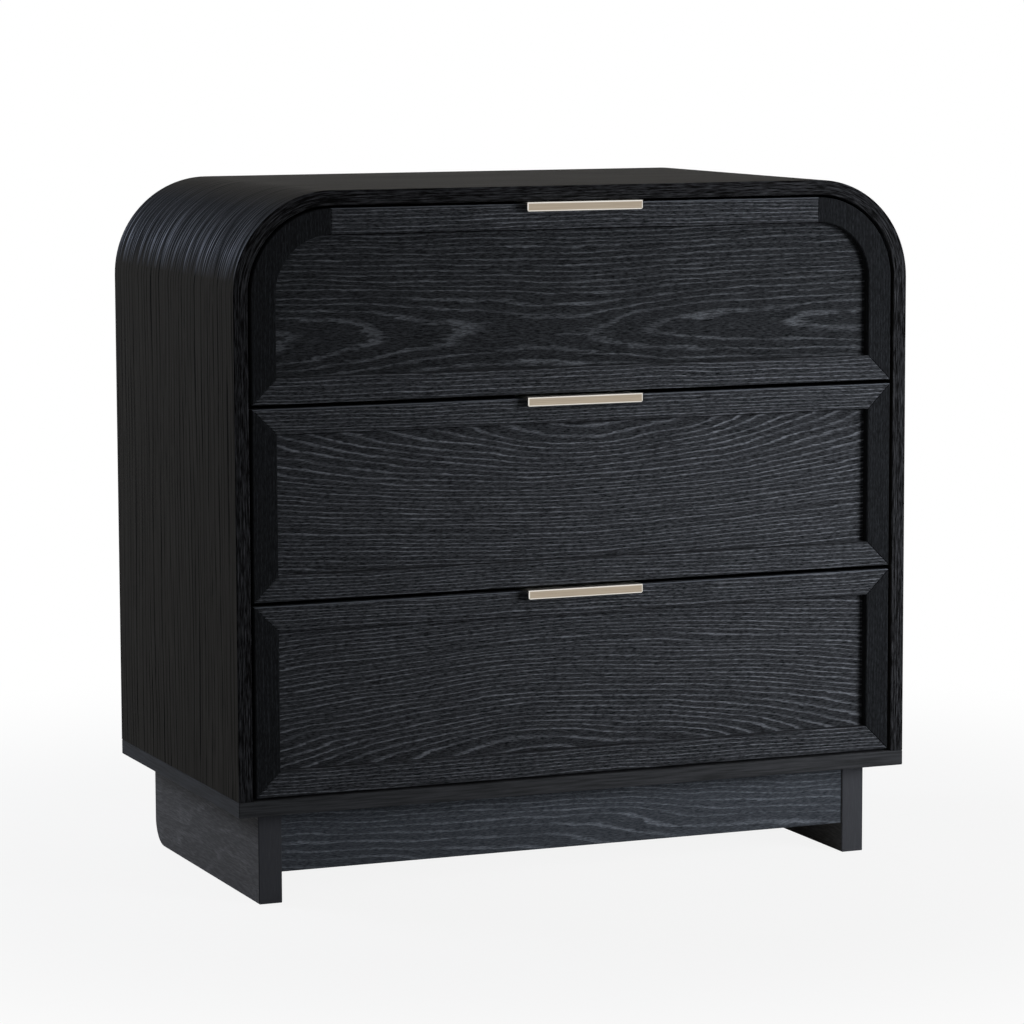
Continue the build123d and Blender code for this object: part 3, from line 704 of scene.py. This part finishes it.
def zinc_plate():
    """Zinc on steel: a cool grey metal, cloudy, with faint rolling lines."""
    material, tree, shader = new_material("zinc_plated_steel")
    spot = object_place(tree)
    cloud_place = add(tree, "Mapping", {"Scale": (1 / cloud_width,) * 3}, {"Vector": spot})
    cloud = add(tree, "TexNoise", {"Scale": 1.0, "Detail": 3.0}, {"Vector": cloud_place})
    line_size = {"Scale": (1 / rolling_width, 1 / rolling_length, 1 / rolling_width)}
    line_place = add(tree, "Mapping", line_size, {"Vector": spot})
    lines = add(tree, "TexNoise", {"Scale": 1.0, "Detail": 2.0}, {"Vector": line_place})
    tint = add(tree, "ValToRGB", {"stops": zinc_tones}, {"Fac": cloud})
    rough = {"operation": "MULTIPLY_ADD", 1: cloud_roughness, 2: zinc_roughness}
    gloss = add(tree, "Math", rough, {0: cloud})
    relief = add(tree, "Bump", {"Strength": rolling_strength, "Distance": rolling_depth}, {"Height": lines})
    join(tree, shader, {"Base Color": tint, "Roughness": gloss, "Normal": relief})
    shader.inputs["Metallic"].default_value = 1.0
    return material


zinc = zinc_plate()
zinc_parts = ("case_rails", "centre_rails", "box_rails", "screws")
finish_nodes(zinc, [f"{d}_drawer_{part}" for d in drawers for part in zinc_parts])
finish_nodes(zinc, ["case_screws", "back_panel_screws"])
finished = [name for name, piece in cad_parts.items() if piece.data.materials]
print("nodes with a finish:", len(finished), "of", len(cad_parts))

# %% [markdown]
# ## Where the screws sit
# The construction model holds plain screws with eight-sided heads. A real one has a round head with a
# cross recess, and it shows on the back, in the open drawers and on the runners. The new screws could be
# placed by a list of numbers, but the plain ones already say all of it. The longest side of a screw's box
# is its axis, and the end with the wider ring of points is its head.

# %% Measure one plain screw
same_level = 0.1 * mm


def measured(solid):
    """The head place and direction of one plain screw, and its kind.

    The kind is the head radius, the shank radius and the length, to a tenth of a millimetre."""
    low = Vector([min(p[i] for p in solid) for i in range(3)])
    high = Vector([max(p[i] for p in solid) for i in range(3)])
    axis = max(range(3), key=lambda i: high[i] - low[i])
    side = (axis + 1) % 3
    middle = (low + high) / 2

    def girth(level):
        near = [p for p in solid if abs(p[axis] - level) < same_level]
        return max(abs(p[side] - middle[side]) for p in near)

    head_low = girth(low[axis]) > girth(high[axis])
    place = middle.copy()
    place[axis] = low[axis] if head_low else high[axis]
    direction = Vector((0, 0, 0))
    direction[axis] = 1 if head_low else -1
    shank = girth(high[axis] if head_low else low[axis])
    sizes = (girth(place[axis]), shank, high[axis] - low[axis])
    return place, direction, tuple(round(size, 4) for size in sizes)


print("points on one ring lie within", round(same_level / mm, 1), "mm")

# %% [markdown]
# ## The plain screws of a node
# Each node holds several screws in one mesh of loose triangles, so they have to be told apart first. Edit
# mode can split a mesh into loose parts, but it would change the node. Instead, points that share a triangle
# get a common owner, point by point, until each screw is one family of points.

# %% Tell the plain screws apart
def plain_screws(node):
    """The place, direction and kind of each screw in a node."""
    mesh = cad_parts[node].data
    points = [tuple(round(part, 5) for part in corner.co) for corner in mesh.vertices]
    owner = {point: point for point in points}

    def root(point):
        while owner[point] != point:
            point = owner[point]
        return point

    for face in mesh.polygons:
        first = root(points[face.vertices[0]])
        for corner in face.vertices[1:]:
            owner[root(points[corner])] = first
    solids = {}
    for point in owner:
        solids.setdefault(root(point), []).append(Vector(point))
    return [measured(solid) for solid in solids.values()]


screw_nodes = {"case_screws": "case", "back_panel_screws": "case"}
screw_nodes.update({f"{d}_drawer_screws": f"{d}_drawer" for d in drawers})
print("plain screws:", {node: len(plain_screws(node)) for node in screw_nodes})

# %% [markdown]
# ## The cross recess
# A driver's cross recess has two crossed bars that narrow towards the bottom. A cube whose lower face is
# made smaller gives one bar as a wedge, and half of it reaches into the head. A picture of a cross on the
# head would not do, since the recess has to catch real shadow.

# %% A wedge for one bar of the recess
blade_taper = (0.45, 0.6, 1.0)  # how much smaller the lower face is
blade_height = 2.2 * mm
blade_length = 1.15  # in head radii, like its width
blade_width = 0.34
facing = 0.9  # the least z of the normal of a face that looks up


def select_faces(piece, wanted):
    """Goes into edit mode with only the faces selected whose normal is wanted."""
    bpy.ops.object.mode_set(mode="EDIT")
    bpy.ops.mesh.select_mode(type="FACE")
    bpy.ops.mesh.select_all(action="DESELECT")
    bpy.ops.object.mode_set(mode="OBJECT")
    for face in piece.data.polygons:
        face.select = wanted(face.normal)
    bpy.ops.object.mode_set(mode="EDIT")


def cross_blade(head, turned):
    """A wedge that cuts one bar of a cross recess in a head of the given radius."""
    bpy.ops.object.select_all(action="DESELECT")
    bpy.ops.mesh.primitive_cube_add(size=1.0)
    blade = bpy.context.object
    select_faces(blade, lambda normal: normal.z < -facing)
    bpy.ops.transform.resize(value=blade_taper)
    bpy.ops.object.mode_set(mode="OBJECT")
    long_side, short_side = (1, 0) if turned else (0, 1)
    scale = Matrix.Diagonal((1, 1, blade_height, 1))
    scale[long_side][long_side] = blade_length * head
    scale[short_side][short_side] = blade_width * head
    blade.data.transform(scale)
    return blade


print("a recess is", round(blade_height / 2 / mm, 1), "mm deep")

# %% [markdown]
# ## One screw of each kind
# A screw is modelled as by hand. A cylinder is the head. Its rim is bevelled, the face below is inset to
# the size of the shank and pulled out, and a last pull makes the point. Two crossed wedges then cut the
# recess. A thread would be hidden in the wood, so there is none.

# %% Make one screw of each kind
head_height = 1.6 * mm
head_sides = 24
rim_bevel = 0.22  # in head radii
tip_length = 3.0 * mm
tip_taper = (0.2, 0.2, 1.0)


def round_screw(head, shank, length):
    """A screw along -z with its head's top at the origin."""
    bpy.ops.object.select_all(action="DESELECT")
    head_shape = dict(vertices=head_sides, radius=head, depth=head_height)
    bpy.ops.mesh.primitive_cylinder_add(**head_shape, location=(0, 0, -head_height / 2))
    piece = bpy.context.object
    bpy.ops.object.transform_apply(location=True)
    select_faces(piece, lambda normal: normal.z > facing)
    bpy.ops.mesh.bevel(offset=rim_bevel * head, segments=3, affect="EDGES")
    select_faces(piece, lambda normal: normal.z < -facing)
    bpy.ops.mesh.inset(thickness=head - shank)
    straight_length = length - head_height - tip_length
    bpy.ops.mesh.extrude_region_move(TRANSFORM_OT_translate={"value": (0, 0, -straight_length)})
    bpy.ops.mesh.extrude_region_move(TRANSFORM_OT_translate={"value": (0, 0, -tip_length)})
    bpy.ops.transform.resize(value=tip_taper)
    bpy.ops.object.mode_set(mode="OBJECT")
    for turned in (False, True):
        blade = cross_blade(head, turned)
        cut = piece.modifiers.new("recess", "BOOLEAN")
        cut.object = blade
        bpy.context.view_layer.objects.active = piece
        bpy.ops.object.modifier_apply(modifier=cut.name)
        bpy.data.objects.remove(blade)
    return piece


all_kinds = [kind for node in screw_nodes for place, direction, kind in plain_screws(node)]
screw_kinds = {kind: round_screw(*kind) for kind in dict.fromkeys(all_kinds)}
print("kinds of screw, in mm:", [[round(size / mm, 1) for size in kind] for kind in screw_kinds])

# %% [markdown]
# ## The screws in place
# Each kind is copied to where a plain screw sits, and the copies of one node are joined to one piece.
# The piece rides on the same body as that node and stands for it. Smooth shading is kept below a small
# angle only, so that the head stays round and the recess stays crisp.

# %% Put the screws in place
crisp_angle = 35


def fit_screws(node, body):
    """Copies the right kind of screw to each place and joins the copies to one piece."""
    copies = []
    for place, direction, kind in plain_screws(node):
        copy = bpy.data.objects.new(node, screw_kinds[kind].data.copy())
        turn = Vector((0, 0, -1)).rotation_difference(direction).to_matrix().to_4x4()
        copy.data.transform(Matrix.Translation(place) @ turn)
        bpy.context.collection.objects.link(copy)
        copies.append(copy)
    bpy.ops.object.select_all(action="DESELECT")
    for copy in copies:
        copy.select_set(True)
    bpy.context.view_layer.objects.active = copies[0]
    bpy.ops.object.join()
    piece = bpy.context.object
    piece.name = f"{node}_cross_recess"
    piece.data.materials.clear()
    piece.data.materials.append(zinc)
    bpy.ops.object.shade_smooth_by_angle(angle=math.radians(crisp_angle))
    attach(piece, body)
    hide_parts(node)
    return len(copies)


fitted = sum(fit_screws(node, body) for node, body in screw_nodes.items())
for pattern in screw_kinds.values():
    bpy.data.objects.remove(pattern)
print("screws fitted:", fitted, "of", len(screw_kinds), "kinds")

# %% [markdown]
# ## Camera
# The view is that of a long lens, a little above the top and off to the left. The lens is 144 mm on a
# 36 mm frame. Its turn and tip come from lining up the edges of the case. A short lens nearby would show
# the same sides, but the far edges would then shrink more than they do.

# %% Camera
frame_pixels = 1024
focal_pixels = 4088.336
camera_place = (-1.66126, -4.03275, 0.89785)
camera_turn = -22.420
look_down = 6.936
camera_roll = -0.208
camera_data = bpy.data.cameras.new("camera")
camera_data.sensor_width = 36.0
camera_data.lens = focal_pixels / frame_pixels * camera_data.sensor_width
camera_data.clip_end = 100.0
camera = bpy.data.objects.new("camera", camera_data)
bpy.context.collection.objects.link(camera)
turn = Matrix.Rotation(math.radians(camera_turn), 4, "Z")
tip = Matrix.Rotation(math.radians(90 - look_down), 4, "X")
roll = Matrix.Rotation(math.radians(camera_roll), 4, "Z")
camera.matrix_world = Matrix.Translation(camera_place) @ turn @ tip @ roll
bpy.context.scene.camera = camera
print("lens in mm:", round(camera_data.lens, 1))

# %% [markdown]
# ## Floor
# A white paper floor carries a faint shadow and runs out to a white surround. More light would make it
# white too, but would wash out the black wood. So the paper glows to the eye and in reflections and
# lights nothing, a little less near the object, where the shadow should show.

# %% Paper floor
floor_side = 40.0
fibre_turns = 60.0
paper_tones = [(0.0, "c8c8c8"), (1.0, "d4d4d4")]
paper_roughness = 0.9
glow_range = {1: 0.5, 2: 1.3, 3: 0.88, 4: 1.0, "interpolation_type": "SMOOTHSTEP"}
bpy.ops.mesh.primitive_plane_add(size=floor_side, location=(0, 0, 0))
floor = bpy.context.object
floor.name = "floor"


def seen_directly(tree):
    """1 for rays from the eye, a mirror or glass, and 0 for light that bounces."""
    path = tree.nodes.new("ShaderNodeLightPath").outputs
    rays = {0: path["Is Camera Ray"], 1: path["Is Glossy Ray"]}
    both = add(tree, "Math", {"operation": "MAXIMUM"}, rays)
    return add(tree, "Math", {"operation": "MAXIMUM"}, {0: both, 1: path["Is Transmission Ray"]})


paper, tree, shader = new_material("white_studio_paper")
spot = object_place(tree)
fibre = add(tree, "TexNoise", {"Scale": fibre_turns, "Detail": 2.0}, {"Vector": spot})
tint = add(tree, "ValToRGB", {"stops": paper_tones}, {"Fac": fibre})
join(tree, shader, {"Base Color": tint})
shader.inputs["Roughness"].default_value = paper_roughness
shader.inputs["Specular IOR Level"].default_value = 0.0
away = add(tree, "VectorMath", {"operation": "LENGTH"}, {0: spot}).node.outputs["Value"]
far = add(tree, "MapRange", glow_range, {0: away})
amount = add(tree, "Math", {"operation": "MULTIPLY"}, {0: far, 1: seen_directly(tree)})
glow = add(tree, "Emission", {"Color": linear("ffffff"), "Strength": 1.0})
mixed = add(tree, "MixShader", None, {0: amount, 1: shader.outputs[0], 2: glow})
tree.links.new(mixed, tree.nodes["Material Output"].inputs["Surface"])
floor.data.materials.append(paper)
print("floor side in metres:", floor.dimensions.x)

# %% [markdown]
# ## White surround
# A studio has a white paper wall all round. Here the world behind the object stands for it. It is white to
# the eye and in the metal, and it gives only a little light, or the black wood would turn grey.

# %% White surround
room_level = 0.12
world = bpy.data.worlds.new("studio")
bpy.context.scene.world = world
world.use_nodes = True
sky = world.node_tree
backdrop = sky.nodes["Background"]
backdrop.inputs["Color"].default_value = linear("ffffff")
dimmed = {"operation": "MULTIPLY_ADD", 1: 1 - room_level, 2: room_level}
join(sky, backdrop, {"Strength": add(sky, "Math", dimmed, {0: seen_directly(sky)})})
print("light from the surround:", room_level)

# %% [markdown]
# ## Lamps
# Four square lamps stand for the soft boxes of a studio. One at the front right gives the drawers their
# brighter right end. It is narrowed, and kept out of reflections, or the pulls would mirror it. The others
# light the left side, the top and the back. Small lamps would draw hard shadows inside the drawer frames.

# %% Soft lamps
lamps = {
    "key_light": dict(place=(1.1, -1.45, 0.65), target=(0.37, -0.1, 0.42), size=0.9, power=5.2,
                      colour="f8faff", spread=58, mirrored=False),
    "rim_light": dict(place=(-1.9, 1.5, 1.4), target=(-0.3, 0, 0.5), size=1.0, power=30, colour="e4ecff"),
    "top_light": dict(place=(0.0, 0.6, 2.8), target=(0, 0, 0.4), size=1.6, power=7.5, colour="ffffff"),
    "back_light": dict(place=(1.2, 3.0, 1.2), target=(0, 0, 0.4), size=2.0, power=22, colour="ffffff"),
}


def soft_light(name, place, target, size, power, colour, spread=180, mirrored=True):
    """A square soft light that faces a point, with its spread in degrees."""
    data = bpy.data.lights.new(name, "AREA")
    data.shape = "SQUARE"
    data.size = size
    data.energy = power
    data.color = linear(colour)[:3]
    data.spread = math.radians(spread)
    lamp = bpy.data.objects.new(name, data)
    bpy.context.collection.objects.link(lamp)
    aim = Vector(target) - Vector(place)
    lamp.rotation_euler = aim.to_track_quat("-Z", "Y").to_euler()
    lamp.location = place
    lamp.visible_camera = False
    lamp.visible_glossy = mirrored


for name, settings in lamps.items():
    soft_light(name, **settings)
    print(name, settings["power"], "watts")

# %% [markdown]
# ## Picture
# The Standard view shows each colour as it is written.

# %% Picture settings
bpy.context.scene.view_settings.view_transform = "Standard"
